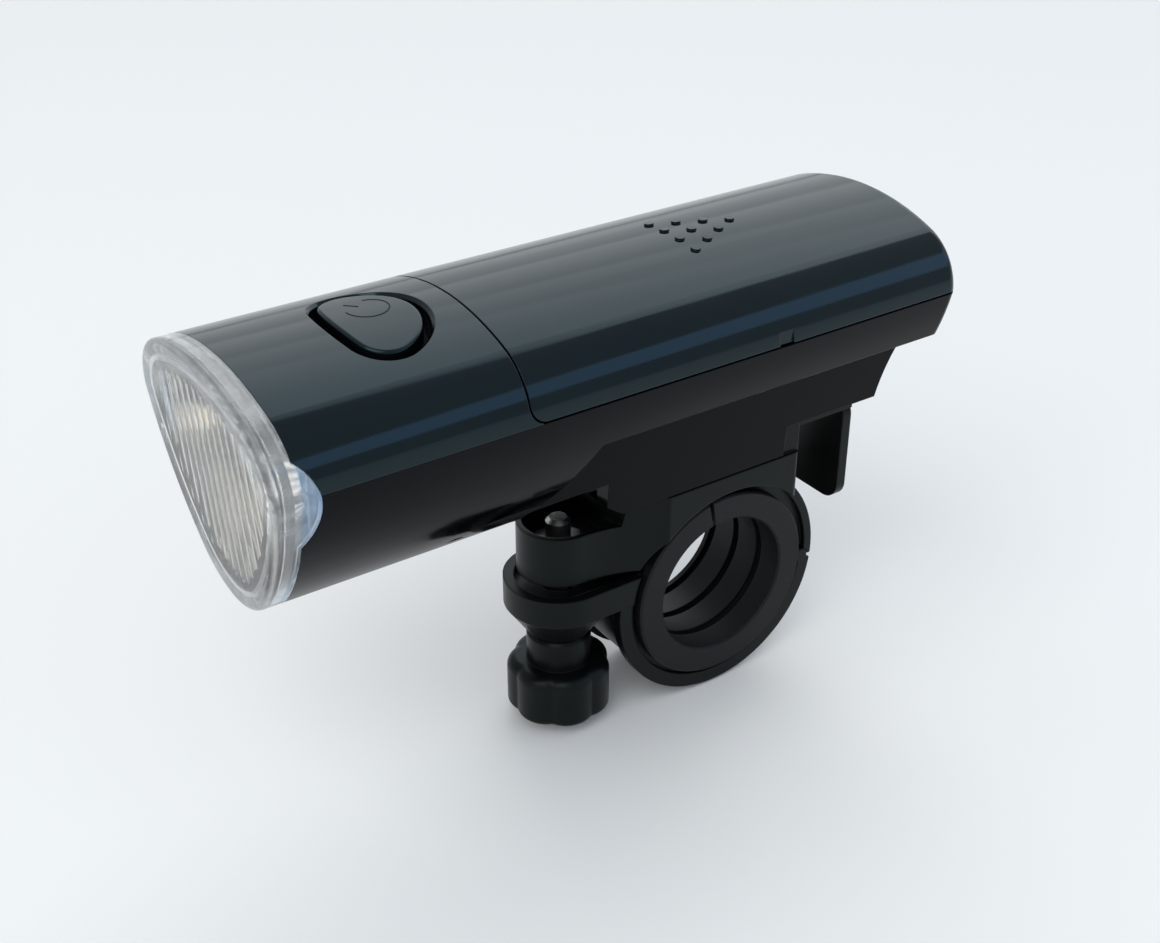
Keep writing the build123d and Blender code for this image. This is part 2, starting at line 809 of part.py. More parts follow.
# Toe of the front housing that fills the rounded corner of the battery cover
with BuildPart() as cover_toe:
    with BuildSketch(Plane.XZ):
        with Locations((seam_x - toe_length / 2, parting_z + cover_corner_round / 2)):
            Rectangle(toe_length, cover_corner_round)
        corner_x = seam_x - seam_gap - cover_corner_round
        with Locations((corner_x, parting_z + seam_gap + cover_corner_round)):
            Circle(cover_corner_round + seam_gap, mode=Mode.SUBTRACT)
    extrude(amount=widest_y + overrun, both=True)
    add(band(seam_x - toe_length, 0, wall, toe_length), mode=Mode.INTERSECT)

# Well of the button, clipped to the outside of the lamp
with BuildPart() as button_well:
    extrude(button_outline(well_floor_z - well_floor, well_gap + well_wall), amount=crown_z)
    add(lamp_body, mode=Mode.INTERSECT)

# Front housing: upper front shell with the button well and the screw bosses
with BuildPart() as front_housing:
    add(lamp_body)
    split(bisect_by=tilted(lens_rear_x), keep=Keep.BOTTOM)
    split(bisect_by=Plane.YZ.offset(seam_x), keep=Keep.TOP)
    split(bisect_by=Plane.XY.offset(parting_z), keep=Keep.TOP)
    extrude(section(seam_x + partition, wall), amount=body_length, mode=Mode.SUBTRACT)
    add(cover_lip.part)
    add(cover_toe.part)
    add(button_well.part)
    for side_y in (-housing_screw_y, housing_screw_y):
        with BuildSketch(Plane.XY.offset(parting_z)):
            with Locations((housing_screw_x, side_y)):
                Circle(housing_boss_radius)
        extrude(amount=well_floor_z - parting_z)
    extrude(button_outline(well_floor_z, well_gap), amount=overrun, mode=Mode.SUBTRACT)
    well_rim = front_housing.edges(Select.LAST).filter_by(GeomType.LINE, reverse=True)
    chamfer(well_rim.filter_by_position(Axis.Z, shoulder_z, crown_z), well_chamfer)
    board_screw_x = board_rear_x + board_screw_inset
    board_screw_y = board_half_width - board_screw_inset
    for side_y in (-board_screw_y, board_screw_y):
        with BuildSketch(Plane.XY.offset(board_top_z)):
            with Locations((board_screw_x, side_y)):
                Circle(board_boss_radius)
        extrude(amount=well_floor_z - board_top_z)
        with BuildSketch(Plane.XY.offset(board_top_z)):
            with Locations((board_screw_x, side_y)):
                Circle(small_screw_radius + small_screw_fit)
        extrude(amount=small_screw_length - board_thickness, mode=Mode.SUBTRACT)
    for side_y in (-housing_screw_y, housing_screw_y):
        with BuildSketch(Plane.XY.offset(parting_z)):
            with Locations((housing_screw_x, side_y)):
                Circle(housing_screw_radius + housing_screw_fit)
        extrude(amount=housing_head_z + housing_screw_length - parting_z, mode=Mode.SUBTRACT)
    with Locations((button_x, button_centre_y, well_floor_z)):
        Cylinder(stem_radius + stem_fit, 2 * overrun, mode=Mode.SUBTRACT)
    extrude(lobe_notch(), amount=widest_y + overrun, both=True, mode=Mode.SUBTRACT)
finish(front_housing, "front_housing")

# Rows of raised dots on the cover, in the shape of an arrow
with BuildPart() as cover_dots:
    for row in range(dot_rows):
        with BuildSketch(Plane.XY.offset(shoulder_z)):
            with Locations((dots_front_x - row * dot_pitch_x, 0)):
                with GridLocations(dot_pitch_y, dot_pitch_y, 1, dot_rows - row):
                    Circle(dot_radius)
        extrude(amount=overrun)
    extrude(section(rear_x, -dot_height), amount=body_length, mode=Mode.INTERSECT)

# Battery cover: upper rear shell with beads that run in the ribs
with BuildPart() as battery_cover:
    add(lamp_body)
    split(bisect_by=Plane.YZ.offset(seam_x - seam_gap), keep=Keep.BOTTOM)
    split(bisect_by=Plane.XY.offset(parting_z + seam_gap), keep=Keep.TOP)
    add(lamp_inside, mode=Mode.SUBTRACT)
    corner = battery_cover.edges().filter_by(Axis.Y).group_by(Axis.X)[-1]
    fillet(corner.group_by(Axis.Z)[0], cover_corner_round)
    for side_y in (-1, 1):
        bead_tip = side_y * (rib_half_width - slide_groove_depth + bead_gap)
        bead_root = side_y * (widest_y - wall / 2)
        box_between(
            (rib_rear_x, bay_front_x),
            sorted([bead_tip, bead_root]),
            (slide_groove_low_z + bead_gap, slide_groove_high_z - bead_gap),
        )
        notch_in = side_y * (widest_y - latch_depth)
        notch_out = side_y * (widest_y + overrun)
        box_between(
            (latch_rear_x, latch_front_x),
            sorted([notch_in, notch_out]),
            (parting_z, latch_top_z),
            mode=Mode.SUBTRACT,
        )
    add(cover_dots.part)
finish(battery_cover, "battery_cover")

# Seal on the lip of the front housing
with BuildPart() as cover_seal:
    add(band(seal_front_x - seal_length, wall + seal_gap, lip_inset, seal_length))
    split(bisect_by=Plane.XY.offset(parting_z), keep=Keep.TOP)
finish(cover_seal, "cover_seal")

# Power button with its stem
with BuildPart() as power_button:
    extrude(button_outline(button_bottom_z), amount=overrun)
    extrude(section(seam_x, -button_proud), amount=body_length, mode=Mode.INTERSECT)
    button_top = power_button.edges().filter_by(Axis.Z, reverse=True)
    fillet(button_top.group_by(Axis.Z)[-1], button_edge_round)
    with BuildSketch(Plane.XY.offset(plunger_top_z + stem_gap)):
        with Locations((button_x, button_centre_y)):
            Circle(stem_radius)
    extrude(amount=button_bottom_z - plunger_top_z)
finish(power_button, "power_button")

# Rubber seal ring round the stem of the button
with BuildPart() as button_seal:
    with BuildSketch(Plane.XY.offset(well_floor_z)):
        with Locations((button_x, button_centre_y)):
            Circle(seal_ring_radius)
            Circle(stem_radius + stem_fit, mode=Mode.SUBTRACT)
    extrude(amount=seal_ring_height)
finish(button_seal, "button_seal")

# Circuit board
with BuildPart() as circuit_board:
    with BuildSketch(Plane.XY.offset(board_bottom_z)):
        with Locations((board_x, 0)):
            Rectangle(board_front_x - board_rear_x, 2 * board_half_width)
        for side_y in (-board_screw_y, board_screw_y):
            with Locations((board_screw_x, side_y)):
                Circle(small_screw_radius + small_screw_fit, mode=Mode.SUBTRACT)
    extrude(amount=board_thickness)
finish(circuit_board, "circuit_board")

# Driver chip on the board
with BuildPart() as driver_chip:
    with BuildSketch(Plane.XY.offset(board_top_z)):
        with Locations((chip_x, 0)):
            Rectangle(chip_length, chip_width)
    extrude(amount=chip_height)
finish(driver_chip, "driver_chip")

# Screws of the board, from below
with BuildPart() as board_screws:
    for side_y in (-board_screw_y, board_screw_y):
        with BuildSketch(Plane.XY.offset(board_bottom_z - small_head_height)):
            with Locations((board_screw_x, side_y)):
                Circle(small_head_radius)
        extrude(amount=small_head_height)
        with BuildSketch(Plane.XY.offset(board_bottom_z)):
            with Locations((board_screw_x, side_y)):
                Circle(small_screw_radius)
        extrude(amount=small_screw_length)
finish(board_screws, "board_screws")

# Body of the tactile switch
with BuildPart() as tactile_switch:
    with BuildSketch(Plane.XY.offset(board_top_z)):
        with Locations((button_x, button_centre_y)):
            Rectangle(switch_side, switch_side)
    extrude(amount=switch_height)
    with BuildSketch(Plane.XY.offset(switch_top_z)):
        with Locations((button_x, button_centre_y)):
            Circle(plunger_radius + plunger_fit)
    extrude(amount=-(plunger_seat + button_travel + stem_gap), mode=Mode.SUBTRACT)
finish(tactile_switch, "tactile_switch")

# Plunger of the switch
with BuildPart() as switch_plunger:
    with BuildSketch(Plane.XY.offset(switch_top_z - plunger_seat)):
        with Locations((button_x, button_centre_y)):
            Circle(plunger_radius)
    extrude(amount=plunger_rise + plunger_seat)
finish(switch_plunger, "switch_plunger")

# Heat sink plate across the lower housing
with BuildPart() as heat_sink:
    extrude(section(sink_rear_x, wall + sink_fit), amount=sink_thickness)
    split(bisect_by=Plane.XY.offset(sink_top_z), keep=Keep.BOTTOM)
finish(heat_sink, "heat_sink")

# Board of the light-emitting diode
with BuildPart() as led_board:
    with BuildSketch(Plane.YZ.offset(led_board_x)):
        with Locations((0, optic_z)):
            Circle(led_board_radius)
    extrude(amount=led_board_thickness)
finish(led_board, "led_board")

# Light-emitting diode: base and dome
with BuildPart() as led_emitter:
    with BuildSketch(Plane.YZ.offset(led_base_x)):
        with Locations((0, optic_z)):
            Rectangle(led_base_side, led_base_side)
    extrude(amount=led_base_height)
    with Locations((led_dome_x, 0, optic_z)):
        Sphere(led_dome_radius)
    split(bisect_by=Plane.YZ.offset(led_base_x), keep=Keep.TOP)
finish(led_emitter, "led_emitter")

# Reflector: bowl with a flat floor and a rim plate that fills the lamp's outline
with BuildPart() as reflector:
    slope = 4 * focal_length
    bowl_start = (slope * (mirror_floor_x - mirror_vertex_x)) ** 0.5
    rim_x = mirror_vertex_x + mirror_rim_radius**2 / slope
    bend_r = (bowl_start + mirror_rim_radius) / 2
    bend_x = mirror_vertex_x + bowl_start * mirror_rim_radius / slope
    with BuildSketch(Plane.XZ):
        with BuildLine():
            bowl = Bezier(
                (mirror_floor_x, optic_z + bowl_start),
                (bend_x, optic_z + bend_r),
                (rim_x, optic_z + mirror_rim_radius),
            )
            back = Bezier(
                (mirror_floor_x - mirror_wall, optic_z + bowl_start),
                (bend_x - mirror_wall, optic_z + bend_r + mirror_wall / 2),
                (rim_x - mirror_wall, optic_z + mirror_rim_radius + mirror_wall / 2),
            )
            Line(bowl @ 1, back @ 1)
            Polyline(
                bowl @ 0,
                (mirror_floor_x, optic_z + mirror_hole_radius),
                (mirror_floor_x - mirror_wall, optic_z + mirror_hole_radius),
                back @ 0,
            )
        make_face()
    revolve(axis=Axis((0, 0, optic_z), (1, 0, 0)))
    rim_plate_x = rim_x - mirror_rim_thickness
    extrude(section(rim_plate_x, mirror_inset), amount=mirror_rim_thickness)
    with BuildSketch(Plane.YZ.offset(rim_plate_x)):
        with Locations((0, optic_z)):
            Circle(mirror_rim_radius)
    extrude(amount=mirror_rim_thickness, mode=Mode.SUBTRACT)
    extrude(section(led_board_x, mirror_inset), amount=body_length, mode=Mode.INTERSECT)
finish(reflector, "reflector")

# Side windows of the lens, behind its rear plane
with BuildPart() as lens_lobes:
    add(band(lobe_rear_x, 0, lens_wall, lens_depth + overrun))
    split(bisect_by=tilted(lens_rear_x), keep=Keep.BOTTOM)
    extrude(lobe_disc(), amount=widest_y + overrun, both=True, mode=Mode.INTERSECT)

# Vertical flutes behind the window of the lens
with BuildPart() as lens_flutes:
    flute_radius = (flute_pitch**2 / 4 + flute_depth**2) / (2 * flute_depth)
    flute_plane = Plane(origin=(lens_inner_x, 0, parting_z), x_dir=(0, 1, 0), z_dir=(sin(tilt), 0, cos(tilt)))
    with BuildSketch(flute_plane):
        for flute in range(flute_count):
            flute_y = (flute - (flute_count - 1) / 2) * flute_pitch
            with Locations((flute_y, flute_depth - flute_radius)):
                Circle(flute_radius)
    extrude(amount=crown_z - keel_z, both=True)
    split(bisect_by=tilted(lens_inner_x), keep=Keep.BOTTOM)
    extrude(section(lobe_rear_x, window_inset), amount=body_length, mode=Mode.INTERSECT)

# Hollow behind the window of the lens
with BuildPart() as cap_space:
    extrude(section(lobe_rear_x, lens_wall), amount=body_length)
    split(bisect_by=tilted(lens_inner_x), keep=Keep.BOTTOM)

# Lens: clear cap with fluted window and side windows
with BuildPart() as lens:
    add(lamp_body)
    split(bisect_by=tilted(lens_front_x), keep=Keep.BOTTOM)
    fillet(lens.faces().sort_by(Axis.X)[-1].edges(), lens_edge_round)
    split(bisect_by=tilted(lens_rear_x), keep=Keep.TOP)
    add(cap_space.part, mode=Mode.SUBTRACT)
    add(lens_lobes.part)
    add(lens_flutes.part)
finish(lens, "lens")

# Gasket between the lens and the rim of the reflector
with BuildPart() as lens_gasket:
    gasket_inset = lens_wall + mirror_floor_gap
    add(band(lobe_rear_x, gasket_inset, gasket_inset + gasket_width, lens_depth + overrun))
    split(bisect_by=tilted(lens_rear_x + mirror_lens_gap), keep=Keep.TOP)
    split(bisect_by=tilted(lens_rear_x + mirror_lens_gap + gasket_thickness), keep=Keep.BOTTOM)
finish(lens_gasket, "lens_gasket")

# Three cells, two above and one in the keel
with BuildPart() as battery_cells:
    for cell_y, cell_z in cell_places:
        with BuildSketch(Plane.YZ.offset(cell_rear_x)):
            with Locations((cell_y, cell_z)):
                Circle(cell_radius)
        extrude(amount=cell_length)
        with BuildSketch(Plane.YZ.offset(cell_rear_x + cell_length)):
            with Locations((cell_y, cell_z)):
                Circle(nub_radius)
        extrude(amount=nub_length)
finish(battery_cells, "battery_cells")


def carrier_face(x):
    """Face of a contact carrier in the plane at x, with a tongue into the keel."""
    with BuildSketch(Plane.YZ.offset(x)) as face:
        with Locations((0, (bay_floor_z + carrier_gap + carrier_top_z) / 2)):
            Rectangle(2 * carrier_half_width, carrier_top_z - bay_floor_z - carrier_gap)
        with Locations((0, lower_cell_z)):
            Circle(cell_radius)
        with Locations((0, lower_cell_z + cell_radius)):
            Rectangle(2 * cell_radius, 2 * cell_radius)
    return face.sketch


# Carriers that hold the contacts at both ends of the cells
with BuildPart() as rear_carrier:
    extrude(carrier_face(rear_carrier_x), amount=carrier_thickness)
    extrude(section(rear_carrier_x, wall + seam_gap), amount=carrier_thickness, mode=Mode.INTERSECT)
finish(rear_carrier, "rear_carrier")

with BuildPart() as front_carrier:
    extrude(carrier_face(front_carrier_x), amount=carrier_thickness)
    extrude(section(front_carrier_x, wall + seam_gap), amount=carrier_thickness, mode=Mode.INTERSECT)
finish(front_carrier, "front_carrier")

# Flat contacts in front of the cells
with BuildPart() as front_contacts:
    for cell_y, cell_z in cell_places:
        with BuildSketch(Plane.YZ.offset(front_contact_x)):
            with Locations((cell_y, cell_z)):
                RectangleRounded(contact_width, contact_width, contact_width / 4)
        extrude(amount=contact_thickness)
finish(front_contacts, "front_contacts")

# Bowed contact springs behind the cells
with BuildPart() as rear_springs:
    for cell_y, cell_z in cell_places:
        with BuildSketch(Plane.XY.offset(cell_z - contact_width / 2)):
            with BuildLine():
                bow_low = (spring_x + contact_thickness / 2, cell_y - contact_width / 2)
                bow_high = (spring_x + contact_thickness / 2, cell_y + contact_width / 2)
                bow_top = (spring_x + spring_depth - contact_thickness / 2, cell_y)
                ThreePointArc(bow_low, bow_top, bow_high)
            trace(line_width=contact_thickness)
        extrude(amount=contact_width)
finish(rear_springs, "rear_springs")

# Screws that hold the housings together, from below
with BuildPart() as housing_screws:
    for side_y in (-housing_screw_y, housing_screw_y):
        with BuildSketch(Plane.XY.offset(housing_head_z)):
            with Locations((housing_screw_x, side_y)):
                Circle(housing_head_radius)
        extrude(amount=-housing_head_height)
        with BuildSketch(Plane.XY.offset(housing_head_z)):
            with Locations((housing_screw_x, side_y)):
                Circle(housing_screw_radius)
        extrude(amount=housing_screw_length)
finish(housing_screws, "housing_screws")
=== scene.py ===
"""Looks of the bike headlight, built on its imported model. Lengths are in metres."""

import json
import math

import bpy
from mathutils import Matrix, Vector
from mathutils.geometry import convex_hull_2d


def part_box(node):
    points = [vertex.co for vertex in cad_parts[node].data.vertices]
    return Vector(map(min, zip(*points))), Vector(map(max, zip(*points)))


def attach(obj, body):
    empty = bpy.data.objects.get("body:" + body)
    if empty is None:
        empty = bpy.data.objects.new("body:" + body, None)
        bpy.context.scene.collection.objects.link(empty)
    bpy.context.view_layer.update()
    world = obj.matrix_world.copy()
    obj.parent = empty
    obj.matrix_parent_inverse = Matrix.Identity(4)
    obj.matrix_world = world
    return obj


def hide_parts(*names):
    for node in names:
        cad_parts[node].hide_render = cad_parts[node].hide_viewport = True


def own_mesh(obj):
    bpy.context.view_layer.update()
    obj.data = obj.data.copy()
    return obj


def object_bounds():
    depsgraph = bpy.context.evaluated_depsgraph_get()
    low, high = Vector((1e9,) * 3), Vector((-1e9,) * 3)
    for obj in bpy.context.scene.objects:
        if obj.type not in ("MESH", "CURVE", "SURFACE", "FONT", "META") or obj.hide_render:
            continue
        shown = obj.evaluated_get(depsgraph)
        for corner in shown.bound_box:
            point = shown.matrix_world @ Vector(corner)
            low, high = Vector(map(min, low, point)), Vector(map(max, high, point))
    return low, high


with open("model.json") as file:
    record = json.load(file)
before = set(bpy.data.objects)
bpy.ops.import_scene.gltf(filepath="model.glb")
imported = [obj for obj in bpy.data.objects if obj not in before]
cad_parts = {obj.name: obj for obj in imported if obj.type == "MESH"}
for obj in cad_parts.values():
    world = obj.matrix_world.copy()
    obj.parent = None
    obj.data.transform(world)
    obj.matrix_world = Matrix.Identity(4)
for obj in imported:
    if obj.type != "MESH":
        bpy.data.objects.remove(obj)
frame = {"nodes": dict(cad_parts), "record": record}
cad_low, cad_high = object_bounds()
NODES = frame["nodes"]
MM = 0.001
WHITE = (1.0, 1.0, 1.0)

# Camera of the photograph: focal length, place, and the directions to its right and behind it
PHOTO_WIDTH = 1160
FOCAL_PIXELS = 1601
SENSOR_MM = 36
CAMERA_PLACE = (0.14147, 0.17452, 0.14685)
CAMERA_RIGHT = (-0.8251, 0.56498, 0.00178)
CAMERA_BACK = (0.48908, 0.71267, 0.50289)
CLIP_START = 0.01
CLIP_END = 20

# Floor: a paper disc just under the part, and the light of the room
FLOOR_RADIUS = 4.0
FLOOR_CORNERS = 96
FLOOR_GAP = 0.0005
FLOOR_COLOUR = (0.94, 0.93, 0.91)
FLOOR_ROUGHNESS = 0.95
FLOOR_GRAIN_SCALE = 900
FLOOR_GRAIN_DEPTH = 1.5e-5
WORLD_COLOUR = (0.85, 0.93, 1.0)
WORLD_LEVEL = 0.57

# Window behind the part: sheets of light, each with its foot, top and radiance, brightest where all overlap
WINDOW_AWAY = (-0.565, -0.825, 0)
WINDOW_DISTANCE = 2.4
WINDOW_STEP = 0.05
WINDOW_SHIFT = 0.8
WINDOW_WIDTH = 3.8
WINDOW_SHEETS = [(0.1, 7.0, 0.4), (0.8, 6.4, 0.4), (1.6, 5.6, 0.35), (2.4, 4.8, 0.25)]

# Fill light before the lens, and a bluish sheet of sky at the side
FILL_PLACE = (0.9, 0.45, 1.1)
FILL_SIZE = (1.2, 1.2)
FILL_RADIANCE = 2.1
SKY_PLACE = (-1.2, 1.3, 0.9)
SKY_SIZE = (2.2, 0.6)
SKY_RADIANCE = 1.0
SKY_COLOUR = (0.4, 0.62, 1.0)

# Textures: cells per metre, depth of relief, and the span of a noise's values that is spread out
CLOUD_SCALE = 60
WAVE_SCALE = 90
STREAK_SCALE = 900
STREAK_DEPTH = 2e-6
DULL_SCALE = 250
NARROW = (0.35, 0.65)
BROAD = (0.3, 0.7)
BEVEL_SAMPLES = 4

# Lens window, an ellipse across the beam, so deep that the place along the beam makes no difference
LENS_WINDOW_PLACE = (0, 0, 40.6 * MM)
LENS_WINDOW_HALVES = (1e3, 17.4 * MM, 14.4 * MM)
LENS_WINDOW_EDGE = (0.97, 1.08)

# Clear lens: plane between its rim and its side windows, colours with a painted bluish reflection in the
# side windows, painted light in the rim as a diffuse share for its inner reflections, gloss and ripple
LENS_REAR = 76.35 * MM
LENS_REAR_BLEND = 0.3 * MM
LENS_IOR = 1.5
LENS_WINDOW_COLOUR = (0.96, 0.94, 0.905)
LENS_RIM_COLOUR = (0.9, 0.905, 0.9)
LENS_SIDE_PAINTED_REFLECTION = (0.6, 0.78, 1.0)
LENS_RIM_PAINTED_LIGHT = (0.17, 0.29)
LENS_PAINTED_LIGHT_SCALE = 220
LENS_PAINTED_LIGHT_STRETCH = (1, 1, 3)
LENS_ROUGH = (0.02, 0.08)
LENS_DULL_SCALE = 200
LENS_EDGE = 0.3 * MM
LENS_RIPPLE_SCALE = 400
LENS_RIPPLE_DEPTH = 4e-6

# Painted shade in the plate of the lens, a dark ring for the shaded line at the flutes' edge: the plate's
# tilted plane, the ring set in from the lens's outline, its scallops, and how the outline is stepped and
# smoothed
SHADE_X = 77.92 * MM
SHADE_LEVEL = 41.3 * MM
SHADE_TILT = math.tan(math.radians(3.3))
SHADE_INSET = 2.9 * MM
SHADE_WIDTH = 0.8 * MM
SHADE_THICK = 0.06 * MM
SHADE_STEPS = 360
SCALLOP = 0.8 * MM
SCALLOP_PITCH = 2.25 * MM
SMOOTH_REACH = 4
LENGTH_SLACK = 1e-9

# Pips beside the shade ring: each is a flat dome of rings, given as share of its size and rise
PIP_INSET = 2.75 * MM
PIP_SPACING = 3.1 * MM
PIP_SIZE = 0.45 * MM
PIP_FIRST = 0.7
PIP_GROWTH = 0.1
PIP_FLATTEN = 0.6
PIP_COUNT = 6
PIP_SIDES = 12
PIP_RINGS = ((1.0, 0.0), (0.8, 0.6), (0.4, 0.9))

# Soft seal under the button: round edge, share of the round at its corner, groove in its side, and steps
# round it
SEAL_ROUND = 0.22 * MM
SEAL_CORNER = 0.3
SEAL_GROOVE = 0.18 * MM
SEAL_STEPS = 72

# Power symbol on the button: centre, direction of its bar, gap in its ring, steps, and the raised line
SYMBOL_CENTRE = (54.8 * MM, -1.8 * MM)
SYMBOL_TURN = math.radians(-54)
SYMBOL_GAP = math.radians(50)
SYMBOL_RADIUS = 3.0 * MM
SYMBOL_BAR = (1.3 * MM, 3.5 * MM)
RING_STEPS = 64
BAR_STEPS = 12
LINE_WIDTH = 0.26 * MM
LINE_HEIGHT = 0.05 * MM
LINE_PROFILE = ((-1, -1), (-0.6, 1), (0.6, 1), (1, -1))
RAY_START = 0.1
DOWN = Vector((0, 0, -1))

# Looks of the plastic and rubber slots, of the belly, and of the pieces that this scene adds. The belly's
# black is a little less glossy than the gloss black, and its weak specular dims its reflections as painted
# shade
PLASTICS = {
    # The tint colours each plastic's reflections: the bluish tints are painted reflection of blue sky
    "gloss_black": dict(
        dark=(0.0015, 0.0017, 0.002), pale=(0.002, 0.0024, 0.003), rough=(0.06, 0.12),
        grain_scale=9000, grain_depth=1e-7, wave_depth=3e-5, specular=0.4, tint=(0.55, 0.86, 1.0),
    ),
    # Belly: weak specular dims its reflections, painted shade on its sides
    "belly_black_painted_shade": dict(
        dark=(0.0012, 0.0014, 0.0014), pale=(0.002, 0.0022, 0.002), rough=(0.07, 0.13),
        grain_scale=9000, grain_depth=1e-7, wave_depth=3e-5, specular=0.09, tint=(0.85, 0.95, 1.0),
    ),
    "button_black": dict(
        dark=(0.002, 0.0025, 0.003), pale=(0.003, 0.0035, 0.004), rough=(0.16, 0.24),
        grain_scale=9000, grain_depth=3e-7, specular=0.35, tint=(0.5, 0.88, 1.0),
    ),
    "bracket_plastic": dict(
        dark=(0.002, 0.0024, 0.0024), pale=(0.003, 0.0035, 0.0035), rough=(0.26, 0.4),
        grain_scale=6000, grain_depth=5e-6, edge=0.4 * MM, specular=0.17, tint=(0.85, 1.0, 1.0),
    ),
    "rubber": dict(
        dark=(0.003, 0.0038, 0.0038), pale=(0.005, 0.006, 0.006), rough=(0.42, 0.55),
        grain_scale=3500, grain_depth=8e-6, specular=0.22,
    ),
    "carrier_black": dict(
        dark=(0.02, 0.02, 0.02), pale=(0.03, 0.03, 0.03), rough=(0.45, 0.55),
        grain_scale=6000, grain_depth=4e-6,
    ),
    "chip_black": dict(
        dark=(0.02, 0.02, 0.02), pale=(0.03, 0.03, 0.03), rough=(0.45, 0.6),
        grain_scale=8000, grain_depth=3e-6,
    ),
    "board_green": dict(
        dark=(0.01, 0.09, 0.04), pale=(0.015, 0.13, 0.06), rough=(0.25, 0.35),
        grain_scale=4000, grain_depth=1e-6,
    ),
    "led_board": dict(
        dark=(0.75, 0.75, 0.72), pale=(0.85, 0.85, 0.82), rough=(0.3, 0.4),
        grain_scale=4000, grain_depth=1e-6,
    ),
    "led_yellow": dict(
        dark=(0.8, 0.62, 0.12), pale=(0.85, 0.7, 0.2), rough=(0.2, 0.3),
        grain_scale=4000, grain_depth=1e-6,
    ),
    # Dark ring in the lens: painted shade for the shaded line at the flutes' edge; the pips share this
    # material
    "lens_pips_and_painted_shade": dict(
        dark=(0.018, 0.02, 0.024), pale=(0.03, 0.033, 0.038), rough=(0.2, 0.35),
        grain_scale=6000, grain_depth=1e-6, specular=0.3,
    ),
    "symbol_line": dict(
        dark=(0.002, 0.002, 0.002), pale=(0.003, 0.003, 0.003), rough=(0.5, 0.6),
        grain_scale=9000, grain_depth=3e-7, specular=0.2,
    ),
}

# Looks of the metal slots
METALS = {
    "plated_steel": dict(dark=(0.5, 0.5, 0.48), pale=(0.68, 0.67, 0.64), rough=(0.22, 0.38)),
    "aluminium": dict(dark=(0.7, 0.7, 0.71), pale=(0.8, 0.8, 0.8), rough=(0.3, 0.42), stretch=(1, 12, 1)),
    "cell_jacket": dict(
        dark=(0.16, 0.19, 0.23), pale=(0.22, 0.25, 0.29), rough=(0.25, 0.35), stretch=(1, 8, 8)
    ),
    "reflector_chrome": dict(dark=(0.58, 0.55, 0.5), pale=(0.66, 0.63, 0.58), rough=(0.04, 0.1)),
}


def build_camera():
    """Camera at the photograph's place and viewing angle."""
    data = bpy.data.cameras.new("photo_camera")
    data.sensor_fit = "HORIZONTAL"
    data.sensor_width = SENSOR_MM
    data.lens = FOCAL_PIXELS * SENSOR_MM / PHOTO_WIDTH
    data.clip_start = CLIP_START
    data.clip_end = CLIP_END
    camera = bpy.data.objects.new("photo_camera", data)
    right = Vector(CAMERA_RIGHT).normalized()
    back = Vector(CAMERA_BACK).normalized()
    up = back.cross(right)
    turn = Matrix((right, up, back)).transposed().to_4x4()
    camera.matrix_world = Matrix.Translation(CAMERA_PLACE) @ turn
    bpy.context.scene.collection.objects.link(camera)
    bpy.context.scene.camera = camera


class Shader:
    """One material with short calls for its nodes."""

    def __init__(self, name):
        self.material = bpy.data.materials.new(name)
        self.material.use_nodes = True
        self.tree = self.material.node_tree
        self.tree.nodes.clear()
        self.bsdf = self.add("BsdfPrincipled")
        self.link(self.bsdf, 0, self.add("OutputMaterial"), 0)
        self.place = self.add("TexCoord")

    def add(self, kind, **settings):
        """New node of a kind, with its settings."""
        node = self.tree.nodes.new("ShaderNode" + kind)
        for key, value in settings.items():
            setattr(node, key, value)
        return node

    def link(self, source, out, target, into):
        """Join an output of one node to an input of another."""
        self.tree.links.new(source.outputs[out], target.inputs[into])

    def set(self, node, **values):
        """Constant values of a node's inputs, named with _ for a space."""
        for key, value in values.items():
            node.inputs[key.replace("_", " ")].default_value = value

    def noise(self, scale, detail, stretch=None):
        """Noise over the object's own coordinates, scale in cells per metre."""
        node = self.add("TexNoise")
        self.set(node, Scale=scale, Detail=detail)
        if stretch:
            mapping = self.add("Mapping")
            self.set(mapping, Scale=stretch)
            self.link(self.place, "Object", mapping, "Vector")
            self.link(mapping, 0, node, "Vector")
        else:
            self.link(self.place, "Object", node, "Vector")
        return node

    def ramp(self, source, span, values, out=0):
        """Spread a span of a texture's values over a range of values."""
        node = self.add("MapRange")
        self.set(node, From_Min=span[0], From_Max=span[1], To_Min=values[0], To_Max=values[1])
        self.link(source, out, node, "Value")
        return node

    def tint(self, factor, first, second):
        """Mix of two colours by a factor."""
        node = self.add("Mix", data_type="RGBA")
        self.set(node, A=(*first, 1), B=(*second, 1))
        self.link(factor, 0, node, "Factor")
        return node

    def combine(self, operation, first, second):
        """Result of an operation on two inputs, each a node or a number."""
        node = self.add("Math", operation=operation)
        for place, value in enumerate((first, second)):
            if isinstance(value, float):
                node.inputs[place].default_value = value
            else:
                self.link(value, 0, node, place)
        return node

    def rounded(self, radius):
        """Normal with soft edges of a radius."""
        node = self.add("Bevel", samples=BEVEL_SAMPLES)
        self.set(node, Radius=radius)
        return node

    def bump(self, source, distance, below=None):
        """Relief of a texture, over the relief below it."""
        node = self.add("Bump")
        self.set(node, Distance=distance)
        self.link(source, 0, node, "Height")
        if below:
            self.link(below, 0, node, "Normal")
        return node


